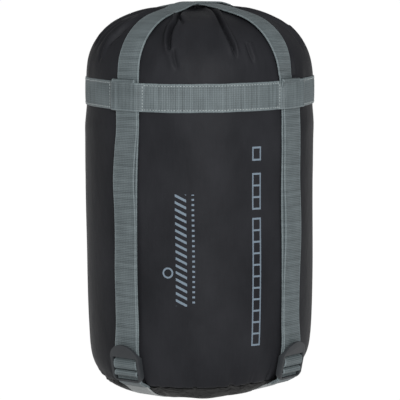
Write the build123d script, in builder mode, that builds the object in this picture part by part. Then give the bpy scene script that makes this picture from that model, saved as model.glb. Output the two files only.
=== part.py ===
from build123d import *

# A compression sack: a stuffed fabric cylinder with a girth band, two webbing straps that cross over
# the crown, and four ladder-lock buckles at the foot. Millimetres, +Z up, and the origin lies under the
# middle of the base.
#
# Every strap lies in a vertical plane through the axis. The pieces of one strap end are drawn once, in
# the XZ plane with X as the radius, and turned to the four corners.

import os
from math import acos, asin, atan2, cos, degrees, hypot, radians, sin

# ---------------------------------------------------------------- driving dimensions
WEBBING_WIDTH = 25.0
WEBBING_THICK = 1.3
FABRIC = 1.2                    # closed shell that stands for coated cloth with its seam allowances
GAP = 0.3                       # air between soft parts that only lie on each other

SACK_RADIUS = 100.6             # outside of the upper wall and the crown
SLEEVE_RADIUS = 99.0            # outside of the lower wall, which the upper wall slides over
WALL_SPLIT = 150.0              # lower edge of the upper wall
WALL_OVERLAP = 15.0
BAND_LOW = 252.5                # lower edge of the girth band
BAND_HIGH = BAND_LOW + WEBBING_WIDTH
CROWN_SEAM = 265.0              # height under the band where the crown is sewn on

FOOT_ARC_TOP = 52.0             # where the wall starts to turn in
FOOT_RADII = (90.0, 22.0, 73.0)     # gentle turn, corner, shallow dome
FOOT_TURNS = (15.0, 40.0, 35.0)     # degrees, together a right angle

SHOULDER_HEIGHT = 289.0
SHOULDER_RADIUS = 48.0
MOUTH_RADIUS = 14.0             # centreline of the drawcord channel
CHANNEL_OUTER = 3.2
CHANNEL_INNER = 2.1
MOUTH_HEIGHT = 339.6
CORD_RADIUS = 1.25

CROSSING_HEIGHT = 344.05        # middle of the lower strap where the two cross over the mouth

LOCK_TILT = 11.0                # degrees that the buckles lean with the foot of the sack
LOCK_WIDTH = 31.0
LOCK_LENGTH = 34.5
LOCK_FOOT = (95.2, 20.0)        # radius and height of the buckle's lower inner edge

CORNERS = {"back_right": 45, "back_left": 135, "front_left": 225, "front_right": 315}

HALF_WEB = WEBBING_THICK / 2    # a strap drawn round its middle line also grows by this at its ends
SIDE = Plane.XZ                 # a sketch plane with the radius across and the height up

os.makedirs("parts", exist_ok=True)


def write(part, name):
    """Labels one finished piece and writes its STEP file."""
    part.label = name
    export_step(part, f"parts/{name}.step")


def write_at_corners(part, name):
    """Writes a copy of a piece for each of the four strap ends."""
    for corner, angle in CORNERS.items():
        write(part.moved(Rotation(0, 0, angle)), f"{name}_{corner}")


# ---------------------------------------------------------------- base and lower wall
def foot_arcs(start):
    """The three tangent arcs from the wall to the flat of the base, as edges inside a BuildLine."""
    edges = []
    for radius, turn in zip(FOOT_RADII, FOOT_TURNS):
        before = edges[-1] if edges else start
        edges.append(JernArc(before @ 1, before % 1, radius, -turn))
    return edges


with BuildLine(mode=Mode.PRIVATE) as foot:
    foot_wall = Line((SLEEVE_RADIUS, WALL_SPLIT + WALL_OVERLAP), (SLEEVE_RADIUS, FOOT_ARC_TOP))
    gentle_turn, corner_turn, base_dome = foot_arcs(foot_wall)

base_edge = corner_turn @ 1
dome_centre = base_dome.arc_center

with BuildPart() as sack_wall_lower:
    with BuildSketch(SIDE):
        with BuildLine():
            add([foot_wall, gentle_turn, corner_turn])
            offset(amount=FABRIC, side=Side.RIGHT)
        make_face()
    revolve(axis=Axis.Z)
write(sack_wall_lower.part, "sack_wall_lower")

with BuildPart() as base_panel:
    with BuildSketch(SIDE):
        with BuildLine():
            add(base_dome)
            Line(base_dome @ 1, (0, (base_dome @ 1).Y))
            offset(amount=FABRIC, side=Side.RIGHT)
        make_face()
    revolve(axis=Axis.Z)
write(base_panel.part, "base_panel")

# The tape that binds the seam allowances, inside the sack along the base seam.
BINDING_RADIUS = 0.9
binding_in = Vector(-1, 0).rotate(Axis.Z, -(FOOT_TURNS[0] + FOOT_TURNS[1]))
with BuildPart() as base_binding:
    with BuildSketch(SIDE):
        with Locations(base_edge + binding_in * (FABRIC + BINDING_RADIUS + GAP)):
            Circle(BINDING_RADIUS)
    revolve(axis=Axis.Z)
write(base_binding.part, "base_binding")

# ---------------------------------------------------------------- upper wall, crown and mouth
with BuildPart() as sack_wall_upper:
    with BuildSketch(Plane.XY.offset(WALL_SPLIT)):
        Circle(SACK_RADIUS)
        Circle(SACK_RADIUS - FABRIC, mode=Mode.SUBTRACT)
    extrude(amount=CROWN_SEAM - WALL_SPLIT)
write(sack_wall_upper.part, "sack_wall_upper")

RIM_RADIUS = 30.0               # of the roll from the shoulder down to the flat of the crown
RIM_SLOPE = 8.0                 # degrees
MOUTH_HOLE = 11.0
with BuildPart() as crown:
    with BuildSketch(SIDE):
        with BuildLine():
            side = Line((SACK_RADIUS, CROWN_SEAM), (SACK_RADIUS, SHOULDER_HEIGHT))
            shoulder = JernArc(side @ 1, side % 1, SHOULDER_RADIUS, 90 + RIM_SLOPE)
            rim = JernArc(shoulder @ 1, shoulder % 1, RIM_RADIUS, -RIM_SLOPE)
            Line(rim @ 1, (MOUTH_HOLE, (rim @ 1).Y))
            offset(amount=FABRIC, side=Side.LEFT)
        make_face()
    revolve(axis=Axis.Z)
write(crown.part, "crown")

# The channel round the mouth. Both cord ends leave it through one grommet at the back.
CORD_SPACING = 1.45             # half the distance between the two cord ends
EXIT_BEND = 3.0
CHANNEL_SLIT = (9.0, 3.2)       # width and height of the hole in the channel
GROMMET_OUTSIDE = (9.6, 5.8)
GROMMET_INSIDE = (6.4, 3.0)
GROMMET_THICK = 1.0
GROMMET_STANDOFF = 0.2
channel_back = MOUTH_RADIUS + CHANNEL_OUTER
with BuildPart() as mouth_hem:
    with BuildSketch(SIDE):
        with Locations((MOUTH_RADIUS, MOUTH_HEIGHT)):
            Circle(CHANNEL_OUTER)
            Circle(CHANNEL_INNER, mode=Mode.SUBTRACT)
    revolve(axis=Axis.Z)
    with BuildSketch(SIDE.offset(-channel_back - 1)):
        with Locations((0, MOUTH_HEIGHT)):
            SlotOverall(*CHANNEL_SLIT)
    extrude(amount=CHANNEL_OUTER + 2, mode=Mode.SUBTRACT)
write(mouth_hem.part, "mouth_hem")

with BuildPart() as grommet:
    with BuildSketch(SIDE.offset(-channel_back - GROMMET_STANDOFF - GROMMET_THICK)):
        with Locations((0, MOUTH_HEIGHT)):
            SlotOverall(*GROMMET_OUTSIDE)
            SlotOverall(*GROMMET_INSIDE, mode=Mode.SUBTRACT)
    extrude(amount=GROMMET_THICK)
write(grommet.part, "mouth_grommet")

LOCK_FRONT = 30.5               # front face of the cord lock, behind the mouth
LOCK_DEPTH = 9.0
CORD_BEYOND = 4.0               # of the cord between its lock and its knot
CORD_END = LOCK_FRONT + LOCK_DEPTH + CORD_BEYOND
bend_angle = degrees(asin((CORD_SPACING + EXIT_BEND) / (MOUTH_RADIUS + EXIT_BEND)))
bend_start = (MOUTH_RADIUS + EXIT_BEND) * cos(radians(bend_angle))
with BuildPart() as drawcord:
    with BuildLine(Plane.XY.offset(MOUTH_HEIGHT)):
        inward = Line((CORD_SPACING, CORD_END), (CORD_SPACING, bend_start))
        bend_in = JernArc(inward @ 1, inward % 1, EXIT_BEND, 90 - bend_angle)
        ring = JernArc(bend_in @ 1, bend_in % 1, MOUTH_RADIUS, -(360 - 2 * bend_angle))
        bend_out = JernArc(ring @ 1, ring % 1, EXIT_BEND, 90 - bend_angle)
        Line(bend_out @ 1, (-CORD_SPACING, CORD_END))
    with BuildSketch(SIDE.offset(-CORD_END)):
        with Locations((CORD_SPACING, MOUTH_HEIGHT)):
            Circle(CORD_RADIUS)
    sweep()
write(drawcord.part, "drawcord")

KNOT_SIZE = (7.6, 5.0, 5.4)     # the two cord ends knotted together, as one closed solid
KNOT_ROUNDING = 2.1
with BuildPart() as cord_knot:
    with Locations((0, CORD_END + KNOT_SIZE[1] / 2, MOUTH_HEIGHT)):
        Box(*KNOT_SIZE)
    fillet(cord_knot.edges(), KNOT_ROUNDING)
write(cord_knot.part, "cord_knot")

# ---------------------------------------------------------------- cord lock
BARREL_LEFT = -12.0
BARREL_RIGHT = 8.0
BARREL_LOW = 336.7
BARREL_HEIGHT = 7.9
BARREL_ROUNDING = 2.4
BARREL_END_ROUNDING = 1.2
BORE_RADIUS = 2.9               # of the plunger's bore, along X
BORE_END = BARREL_LEFT + 1.6
PLUNGER_RADIUS = 2.83
PLUNGER_IN = -4.4               # inner end of the plunger with the button out
BUTTON_OUT = 12.0
PRESS_TRAVEL = 3.2
BUTTON_RADIUS = PLUNGER_RADIUS + 0.6
BUTTON_GAP = 0.1                # left to the barrel when the button is pressed home
BUTTON_ROUNDING = 0.3
CORD_PLAY = 0.5
CORD_SLOT = (2 * (CORD_SPACING + CORD_RADIUS) + CORD_PLAY, 2 * CORD_RADIUS + CORD_PLAY)
BORE_ABOVE_CORD = 0.8
lock_y = LOCK_FRONT + LOCK_DEPTH / 2
lock_z = MOUTH_HEIGHT + BORE_ABOVE_CORD

with BuildPart() as cord_lock_barrel:
    with Locations(((BARREL_LEFT + BARREL_RIGHT) / 2, lock_y, BARREL_LOW + BARREL_HEIGHT / 2)):
        Box(BARREL_RIGHT - BARREL_LEFT, LOCK_DEPTH, BARREL_HEIGHT)
    fillet(cord_lock_barrel.edges().filter_by(Axis.X), BARREL_ROUNDING)
    fillet(cord_lock_barrel.faces().sort_by(Axis.X)[0].edges(), BARREL_END_ROUNDING)
    with BuildSketch(Plane.YZ.offset(BORE_END)):
        with Locations((lock_y, lock_z)):
            Circle(BORE_RADIUS)
    extrude(amount=BARREL_RIGHT - BORE_END + 1, mode=Mode.SUBTRACT)
    with BuildSketch(SIDE.offset(-LOCK_FRONT + 1)):
        with Locations((0, MOUTH_HEIGHT)):
            SlotOverall(*CORD_SLOT)
    extrude(amount=-LOCK_DEPTH - 2, mode=Mode.SUBTRACT)
write(cord_lock_barrel.part, "cord_lock_barrel")

slot_left = -CORD_SLOT[0] / 2
slot_right = CORD_SLOT[0] / 2 + PRESS_TRAVEL
with BuildPart() as cord_lock_plunger:
    with BuildSketch(Plane.YZ.offset(PLUNGER_IN)):
        with Locations((lock_y, lock_z)):
            Circle(PLUNGER_RADIUS)
    extrude(amount=BUTTON_OUT - PLUNGER_IN)
    with BuildSketch(Plane.YZ.offset(BARREL_RIGHT + PRESS_TRAVEL + BUTTON_GAP)):
        with Locations((lock_y, lock_z)):
            Circle(BUTTON_RADIUS)
    extrude(amount=BUTTON_OUT - BARREL_RIGHT - PRESS_TRAVEL - BUTTON_GAP)
    fillet(cord_lock_plunger.edges().sort_by(Axis.X)[-1], BUTTON_ROUNDING)
    with BuildSketch(SIDE.offset(-LOCK_FRONT + 1)):
        with Locations(((slot_left + slot_right) / 2, MOUTH_HEIGHT)):
            Rectangle(slot_right - slot_left, CORD_SLOT[1])
    extrude(amount=-LOCK_DEPTH - 2, mode=Mode.SUBTRACT)
write(cord_lock_plunger.part, "cord_lock_plunger")

SPRING_WIRE = 0.3               # wire radius
SPRING_RADIUS = 2.1
SPRING_TURNS = 4
SPRING_PLAY = 0.1               # at each end of the spring
spring_length = PLUNGER_IN - BORE_END - 2 * (SPRING_WIRE + SPRING_PLAY)
spring_start = BORE_END + SPRING_WIRE + SPRING_PLAY
with BuildPart() as cord_lock_spring:
    with BuildLine():
        coil = Helix(pitch=spring_length / SPRING_TURNS, height=spring_length, radius=SPRING_RADIUS,
                     center=(spring_start, lock_y, lock_z), direction=(1, 0, 0))
    with BuildSketch(Plane(origin=coil @ 0, z_dir=coil % 0)):
        Circle(SPRING_WIRE)
    sweep(is_frenet=True)
write(cord_lock_spring.part, "cord_lock_spring")

# ---------------------------------------------------------------- buckle frame of reference
lean = radians(LOCK_TILT)
up_strap = Vector(sin(lean), 0, cos(lean))          # along the buckle, towards its tab
outward = Vector(cos(lean), 0, -sin(lean))
foot_point = Vector(LOCK_FOOT[0], 0, LOCK_FOOT[1])
LOCK_FACE = Plane(origin=foot_point, x_dir=(0, 1, 0), z_dir=outward)    # across, along
LOCK_SIDE = Plane(origin=foot_point, x_dir=up_strap, z_dir=(0, 1, 0))   # along, outward


def from_lock(along, out):
    """A point of the buckle's side view as radius and height."""
    point = foot_point + up_strap * along + outward * out
    return point.X, point.Z


PIVOT = (-1.2, 1.5)             # where the anchor webbing bends when the buckle is lifted
LOAD_OUT = 0.85                 # middle of the strap that carries the load, under the buckle
TAIL_OUT = 2.35                 # middle of the free tail above it
STRAP_START = 21.6              # where the straps leave the piece that turns round the bar
CUT_GAP = 0.15                  # between the separate lengths of one strap
pivot_radius, pivot_height = from_lock(*PIVOT)
load_radius = from_lock(LOCK_LENGTH, LOAD_OUT)[0]
tail_radius = load_radius + (TAIL_OUT - LOAD_OUT)

# ---------------------------------------------------------------- ladder locks
RAIL = 2.6
WINDOW = LOCK_WIDTH - 2 * RAIL
WINDOW_LOW = 1.8
WINDOW_HIGH = 22.4
WINDOW_ROUNDING = 1.2
WEB_ROOM = 3.2                  # clear height for the two webbing layers under the buckle
ANCHOR_BAR = (7.7, 4.0)         # along, outward
ANCHOR_BAR_RADIUS = 1.4
ADJUST_BAR = (15.65, 3.4)       # along, outward
ADJUST_BAR_SIZE = (6.5, 3.6)
TAB_RISE = 12.1
FOOT_ROUNDING = 5.5
LOCK_BLANK = 9.0                # thickness of the blank that the side view trims
EDGE_ROUNDING = 0.8
# The side view along and outward: up over the outer face to the lifted tab, and back under it.
OUTER_FACE = [(0, 3.1), (0, 4.9), (4, 5.7), (13, 5.9), (21, 6.0), (LOCK_LENGTH, 8.4)]
INNER_FACE = [(LOCK_LENGTH, 6.4), (28.5, 4.9), (25, 3.6), (21.5, 0.6), (4, 0.6)]

with BuildPart() as ladder_lock:
    with BuildSketch(LOCK_FACE):
        with BuildLine():
            half = LOCK_WIDTH / 2
            root = LOCK_LENGTH - TAB_RISE
            right = Line((half, root), (half, FOOT_ROUNDING))
            low_right = JernArc(right @ 1, right % 1, FOOT_ROUNDING, -90)
            low = Line(low_right @ 1, (-half + FOOT_ROUNDING, 0))
            low_left = JernArc(low @ 1, low % 1, FOOT_ROUNDING, -90)
            left = Line(low_left @ 1, (-half, root))
            ThreePointArc(left @ 1, (0, LOCK_LENGTH), right @ 0)
        make_face()
        with Locations((0, (WINDOW_LOW + WINDOW_HIGH) / 2)):
            RectangleRounded(WINDOW, WINDOW_HIGH - WINDOW_LOW, WINDOW_ROUNDING, mode=Mode.SUBTRACT)
    extrude(amount=LOCK_BLANK)
    with BuildSketch(LOCK_SIDE) as side_view:
        with BuildLine():
            Polyline(*OUTER_FACE, *INNER_FACE, close=True)
        make_face()
        fillet(side_view.vertices().sort_by(Axis.X)[2:8], EDGE_ROUNDING)
    extrude(amount=LOCK_WIDTH, both=True, mode=Mode.INTERSECT)
    with BuildSketch(LOCK_FACE):
        with Locations((0, LOCK_LENGTH)):
            Rectangle(WINDOW, 2 * (LOCK_LENGTH - WINDOW_HIGH) + 1)
        with Locations((0, 0)):
            Rectangle(WINDOW, 2 * WINDOW_LOW + 1)
    extrude(amount=WEB_ROOM, mode=Mode.SUBTRACT)
    with BuildSketch(LOCK_SIDE):
        with Locations(ANCHOR_BAR):
            Circle(ANCHOR_BAR_RADIUS)
        with Locations(ADJUST_BAR):
            SlotOverall(*ADJUST_BAR_SIZE)
    extrude(amount=(WINDOW + RAIL) / 2, both=True)
write_at_corners(ladder_lock.part, "ladder_lock")

# Webbing that is looped round the anchor bar and sewn to itself; it bends at the pivot.
DOUBLED = WEBBING_THICK + 0.05      # half the thickness of the two layers
BAR_HOLE = ANCHOR_BAR_RADIUS + 0.05
SPREAD_START = 2.6                  # along the buckle, where the two layers part to go round the bar
with BuildPart() as anchor_loop:
    with BuildSketch(LOCK_SIDE):
        with Locations(PIVOT):
            Circle(DOUBLED)
        with Locations(((PIVOT[0] + SPREAD_START) / 2, PIVOT[1])):
            Rectangle(SPREAD_START - PIVOT[0], 2 * DOUBLED)
        with BuildSketch(mode=Mode.PRIVATE) as wrap:
            with Locations((SPREAD_START, PIVOT[1])):
                Circle(DOUBLED)
            with Locations(ANCHOR_BAR):
                Circle(BAR_HOLE + WEBBING_THICK)
            make_hull()
        add(wrap.sketch_local)
        with Locations(ANCHOR_BAR):
            Circle(BAR_HOLE, mode=Mode.SUBTRACT)
    extrude(amount=WEBBING_WIDTH / 2, both=True)
write_at_corners(anchor_loop.part, "anchor_loop")

# Webbing that turns round the adjusting bar, between the loaded strap and the free tail.
BAR_END = ADJUST_BAR_SIZE[1] / 2
BAR_PLAY = 0.1
turn_radius = BAR_END + BAR_PLAY + HALF_WEB
bar_low = ADJUST_BAR[0] - ADJUST_BAR_SIZE[0] / 2 + BAR_END
bar_high = ADJUST_BAR[0] + ADJUST_BAR_SIZE[0] / 2 - BAR_END
TAIL_BEND = ADJUST_BAR[1] - TAIL_OUT
TURN_END = STRAP_START - HALF_WEB - CUT_GAP
with BuildPart() as strap_turn:
    with BuildSketch(LOCK_SIDE):
        with BuildLine():
            under = Line((TURN_END, LOAD_OUT), (bar_low, LOAD_OUT))
            round_low = JernArc(under @ 1, under % 1, turn_radius, -180)
            across = Line(round_low @ 1, (bar_high, (round_low @ 1).Y))
            round_high = JernArc(across @ 1, across % 1, turn_radius, -90)
            bend = JernArc(round_high @ 1, round_high % 1, TAIL_BEND, 90)
            Line(bend @ 1, (TURN_END, (bend @ 1).Y))
            offset(amount=HALF_WEB, side=Side.BOTH)
        make_face()
    extrude(amount=WEBBING_WIDTH / 2, both=True)
write_at_corners(strap_turn.part, "strap_turn")


# ---------------------------------------------------------------- straps under the base
STRAP_FLAT = HALF_WEB           # middle of a strap that lies on the ground
STRAP_STACKED = 3 * HALF_WEB + 0.1
HUMP_HALF = 14.0                # half the length of the raised part at the crossing
RAMP = 12.0
BASE_STRAP_SHORT = DOUBLED + HALF_WEB + GAP  # the strap stops short of the webbing that bends at the pivot
ramp_turn = 2 * degrees(atan2(STRAP_STACKED - STRAP_FLAT, RAMP))
ramp_radius = RAMP / 2 / sin(radians(ramp_turn))
base_arc = dome_centre.Y - STRAP_FLAT
pivot_away = (pivot_radius - dome_centre.X, dome_centre.Y - pivot_height)
base_turn = degrees(atan2(*pivot_away) - acos(base_arc / hypot(*pivot_away)))


def base_strap(stacked):
    """The strap from one buckle to the opposite one; a stacked strap rises over the other."""
    with BuildPart() as strap:
        with BuildSketch(SIDE):
            with BuildLine():
                if stacked:
                    raised = Line((0, STRAP_STACKED), (HUMP_HALF, STRAP_STACKED))
                    fall = JernArc(raised @ 1, raised % 1, ramp_radius, -ramp_turn)
                    level = JernArc(fall @ 1, fall % 1, ramp_radius, ramp_turn)
                    flat = Line(level @ 1, (dome_centre.X, STRAP_FLAT))
                else:
                    flat = Line((0, STRAP_FLAT), (dome_centre.X, STRAP_FLAT))
                climb = JernArc(flat @ 1, flat % 1, base_arc, base_turn)
                to_pivot = Vector(pivot_radius, pivot_height) - climb @ 1
                Line(climb @ 1, climb @ 1 + (climb % 1) * (to_pivot.length - BASE_STRAP_SHORT))
                offset(amount=HALF_WEB, side=Side.BOTH)
            make_face()
            mirror(about=Plane.YZ)
        extrude(amount=WEBBING_WIDTH / 2, both=True)
    return strap.part


write(base_strap(True).moved(Rotation(0, 0, 135)), "base_strap_a")
write(base_strap(False).moved(Rotation(0, 0, 45)), "base_strap_b")

# ---------------------------------------------------------------- straps up the side
STRAND_BEND = 20.0
JOIN_HEIGHT = BAND_LOW + 0.1    # under the girth band, where the loaded strap meets the one over the top
TAIL_TOP = BAND_HIGH + 0.4


def side_strand(out, radius, bend, top):
    """A strap that leaves the buckle with its lean, turns upright and climbs to a height."""
    lean_in = bend * (1 - cos(lean))
    bend_along = (radius - lean_in - from_lock(0, out)[0]) / sin(lean)
    with BuildPart() as strand:
        with BuildSketch(SIDE):
            with BuildLine():
                leaning = Line(from_lock(STRAP_START + HALF_WEB, out), from_lock(bend_along, out))
                turn = JernArc(leaning @ 1, leaning % 1, bend, LOCK_TILT)
                Line(turn @ 1, ((turn @ 1).X, top - HALF_WEB))
                offset(amount=HALF_WEB, side=Side.BOTH)
            make_face()
        extrude(amount=WEBBING_WIDTH / 2, both=True)
    return strand.part


write_at_corners(side_strand(LOAD_OUT, load_radius, STRAND_BEND, JOIN_HEIGHT - CUT_GAP), "load_strand")
tail_bend = STRAND_BEND - (TAIL_OUT - LOAD_OUT)
write_at_corners(side_strand(TAIL_OUT, tail_radius, tail_bend, TAIL_TOP - CUT_GAP), "tail_strand")

HEM_LENGTH = 3.4
HEM_INNER = load_radius + HALF_WEB + 0.1
HEM_THICK = 2 * WEBBING_THICK
HEM_ROUNDING = 1.0              # of the folded end
with BuildPart() as tail_hem:
    with BuildSketch(Plane.XY.offset(TAIL_TOP)):
        with Locations((HEM_INNER + HEM_THICK / 2, 0)):
            Rectangle(HEM_THICK, WEBBING_WIDTH)
    extrude(amount=HEM_LENGTH)
    fillet(tail_hem.edges().filter_by(Axis.Y).group_by(Axis.Z)[-1], HEM_ROUNDING)
write_at_corners(tail_hem.part, "tail_hem")

# ---------------------------------------------------------------- straps over the top
CROSSING_HALF = 13.0
CROSSING_BEND = 20.0
CROSSING_STEP = WEBBING_THICK + CUT_GAP
strap_over_radius = load_radius - (SACK_RADIUS - SHOULDER_RADIUS)


def top_strap(crossing):
    """The strap from under the band, over the mouth and down to the band on the other side."""
    across = SACK_RADIUS - SHOULDER_RADIUS - CROSSING_HALF
    drop = crossing - CROSSING_BEND - SHOULDER_HEIGHT
    bend_off = asin((strap_over_radius - CROSSING_BEND) / hypot(across, drop))
    slope = degrees(atan2(drop, across) - bend_off)
    with BuildPart() as strap:
        with BuildSketch(SIDE):
            with BuildLine():
                upright = Line((load_radius, JOIN_HEIGHT + HALF_WEB), (load_radius, SHOULDER_HEIGHT))
                over = JernArc(upright @ 1, upright % 1, strap_over_radius, 90 - slope)
                knee_x = CROSSING_HALF + CROSSING_BEND * sin(radians(slope))
                run_length = ((over @ 1).X - knee_x) / cos(radians(slope))
                run = Line(over @ 1, over @ 1 + (over % 1) * run_length)
                knee = JernArc(run @ 1, run % 1, CROSSING_BEND, slope)
                Line(knee @ 1, (0, (knee @ 1).Y))
                offset(amount=HALF_WEB, side=Side.BOTH)
            make_face()
            mirror(about=Plane.YZ)
        extrude(amount=WEBBING_WIDTH / 2, both=True)
    return strap.part


write(top_strap(CROSSING_HEIGHT).moved(Rotation(0, 0, 135)), "compression_strap_a")
write(top_strap(CROSSING_HEIGHT + CROSSING_STEP).moved(Rotation(0, 0, 45)), "compression_strap_b")

# ---------------------------------------------------------------- girth band
BAND_RADIUS = SACK_RADIUS + GAP + HALF_WEB
bridge_radius = tail_radius + WEBBING_THICK + 0.25
BRIDGE_HALF = 13.0
RAMP_HALF = 20.0
ramp_angle = degrees(asin(RAMP_HALF / BAND_RADIUS))
with BuildPart() as girth_band:
    with BuildSketch(Plane.XY.offset(BAND_LOW)):
        with BuildSketch(mode=Mode.PRIVATE) as quarter:
            with BuildLine():
                before = CenterArc((0, 0), BAND_RADIUS, -45, 45 - ramp_angle)
                bridge = Line((bridge_radius, -BRIDGE_HALF), (bridge_radius, BRIDGE_HALF))
                after = CenterArc((0, 0), BAND_RADIUS, ramp_angle, 45 - ramp_angle)
                Line(before @ 1, bridge @ 0)
                Line(bridge @ 1, after @ 0)
                offset(amount=HALF_WEB, side=Side.BOTH)
            make_face()
        for angle in CORNERS.values():
            add(quarter.sketch_local, rotation=angle)
    extrude(amount=WEBBING_WIDTH)
write(girth_band.part, "girth_band")
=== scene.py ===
"""The looks of the compression sack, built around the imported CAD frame.

Shapes are worked out in millimetres, +Z up, and scaled to metres when a mesh is made. A strap end lies in
a vertical plane through the axis: its points are written as (radius, height) and turned to its corner.
"""

from math import asin, cos, degrees, pi, radians, sin

import bmesh
import bpy
import numpy as np
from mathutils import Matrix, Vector


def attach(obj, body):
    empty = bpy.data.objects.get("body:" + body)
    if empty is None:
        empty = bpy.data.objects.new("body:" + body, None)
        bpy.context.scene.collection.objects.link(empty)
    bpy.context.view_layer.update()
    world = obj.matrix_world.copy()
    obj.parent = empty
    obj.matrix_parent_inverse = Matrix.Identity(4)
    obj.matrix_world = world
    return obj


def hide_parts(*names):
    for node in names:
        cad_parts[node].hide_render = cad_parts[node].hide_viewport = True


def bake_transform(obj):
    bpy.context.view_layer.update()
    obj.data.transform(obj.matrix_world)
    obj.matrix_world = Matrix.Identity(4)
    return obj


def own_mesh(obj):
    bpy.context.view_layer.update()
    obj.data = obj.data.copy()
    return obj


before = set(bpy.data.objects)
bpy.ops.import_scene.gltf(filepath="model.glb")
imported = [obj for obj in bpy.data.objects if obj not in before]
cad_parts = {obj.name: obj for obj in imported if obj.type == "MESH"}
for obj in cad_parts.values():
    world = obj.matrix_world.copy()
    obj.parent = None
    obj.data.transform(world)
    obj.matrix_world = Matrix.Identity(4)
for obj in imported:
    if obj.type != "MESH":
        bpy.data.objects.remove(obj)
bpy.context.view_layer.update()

MM = 0.001
CORNERS = {"back_right": 45, "back_left": 135, "front_left": 225, "front_right": 315}

WEBBING_WIDTH = 25.0
WEBBING_THICK = 1.3
RIB_PITCH = 1.5
RIB_STEP = RIB_PITCH / 4        # between a strip's points along its line
RIB_HEIGHT = 0.13
LOAD_RADIUS = 102.1             # middle of the loaded strap on the side of the sack
TAIL_RADIUS = 103.55            # middle of the free tail that lies on it
SPLIT_HEIGHT = 70.0             # where a strap is cut into a lower piece and an upper piece
BAND_MIDDLE = 265.0


# ---------------- curves
def through(points, step):
    """A smooth line through the points (Catmull-Rom), with its own points spaced evenly by about step."""
    p = np.asarray(points, float)
    p = np.vstack([2 * p[0] - p[1], p, 2 * p[-1] - p[-2]])
    t = np.linspace(0, 1, 25)[:-1, None]
    spans = []
    for a, b, c, d in zip(p[:-3], p[1:-2], p[2:-1], p[3:]):
        spans.append(0.5 * (2 * b + (c - a) * t + (2 * a - 5 * b + 4 * c - d) * t**2
                            + (3 * b - a - 3 * c + d) * t**3))
    return evenly(np.vstack(spans + [p[-2:-1]]), step)


def evenly(line, step):
    """The same line with points spaced evenly by about step."""
    along = lengths(line)
    count = max(2, round(along[-1] / step) + 1)
    at = np.linspace(0, along[-1], count)
    return np.stack([np.interp(at, along, line[:, k]) for k in range(line.shape[1])], axis=1)


def lengths(line):
    """The distance along the line at each of its points."""
    return np.concatenate([[0], np.cumsum(np.linalg.norm(np.diff(line, axis=0), axis=1))])


def unit(v):
    return v / np.linalg.norm(v, axis=-1, keepdims=True)


def gauss(x, width):
    return np.exp(-(x / width) ** 2)


def smooth(x, low, high):
    """0 below low, 1 above high, smooth between."""
    t = np.clip((x - low) / (high - low), 0, 1)
    return t * t * (3 - 2 * t)


def nearest_point(spots, route):
    """How far each spot is from the route, and which point of the route is nearest to it."""
    near = np.full(len(spots), np.inf)
    nearest = np.zeros(len(spots), int)
    for index, stop in enumerate(route):
        far = np.linalg.norm(spots - stop, axis=1)
        closer = far < near
        near[closer] = far[closer]
        nearest[closer] = index
    return near, nearest


def turned(points, angle):
    """Points turned about the vertical axis by degrees."""
    c, s = cos(radians(angle)), sin(radians(angle))
    return points @ np.array([[c, s, 0], [-s, c, 0], [0, 0, 1]])


# ---------------- meshes
def new_object(name, data):
    """A new object in the scene with that mesh, light or camera."""
    thing = bpy.data.objects.new(name, data)
    bpy.context.scene.collection.objects.link(thing)
    return thing


def grid_object(name, points, uv=None, wrap_rows=False, wrap_columns=False, caps=False):
    """A mesh of quads from a grid of points in millimetres: rows, columns, xyz."""
    rows, columns = points.shape[:2]
    spans = np.arange(rows - (not wrap_rows)), np.arange(columns - (not wrap_columns))
    i, j = (index.ravel() for index in np.meshgrid(*spans, indexing="ij"))
    i2, j2 = (i + 1) % rows, (j + 1) % columns
    quads = np.stack([i * columns + j, i * columns + j2, i2 * columns + j2, i2 * columns + j], axis=1)
    faces = quads.tolist()
    if caps:
        faces.append(list(range(columns))[::-1])
        faces.append(list(range((rows - 1) * columns, rows * columns)))
    mesh = bpy.data.meshes.new(name)
    mesh.from_pydata((points.reshape(-1, 3) * MM).tolist(), [], faces)
    if uv is not None:
        layer = mesh.uv_layers.new(name="UVMap")
        a, b = np.stack([i, i, i + 1, i + 1], 1).ravel(), np.stack([j, j + 1, j + 1, j], 1).ravel()
        across, along = uv
        pairs = np.stack([across[b % len(across)], along[a]], axis=1) * MM
        flat = np.zeros(2 * len(mesh.loops))
        flat[:pairs.size] = pairs.ravel()
        layer.data.foreach_set("uv", flat)
    mesh.polygons.foreach_set("use_smooth", [True] * len(mesh.polygons))
    mesh.update()
    mesh.validate()
    return new_object(name, mesh)


# Across and through the webbing, as shares of half its width and half its thickness, and how much of a
# rib shows there. The edge is a rounded selvedge with a shallow groove beside it.
SECTION_ACROSS = np.array([0.985, 0.955, 0.91, 0.87, 0.6, 0.2])
SECTION_THROUGH = np.array([0.72, 1.05, 1.1, 0.86, 1.0, 1.0])
SECTION_RIB = np.array([0.0, 0.0, 0.15, 0.6, 1.0, 1.0])


def section():
    """The webbing's closed outline: how far across, how far through and how much rib at each point."""
    across = np.concatenate([-SECTION_ACROSS, SECTION_ACROSS[::-1]])
    top = np.concatenate([SECTION_THROUGH, SECTION_THROUGH[::-1]])
    rib = np.concatenate([SECTION_RIB, SECTION_RIB[::-1]])
    return (np.concatenate([[-1], across, [1], across[::-1]]), np.concatenate([[0], top, [0], -top]),
            np.concatenate([[0], rib, [0], rib]))


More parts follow.
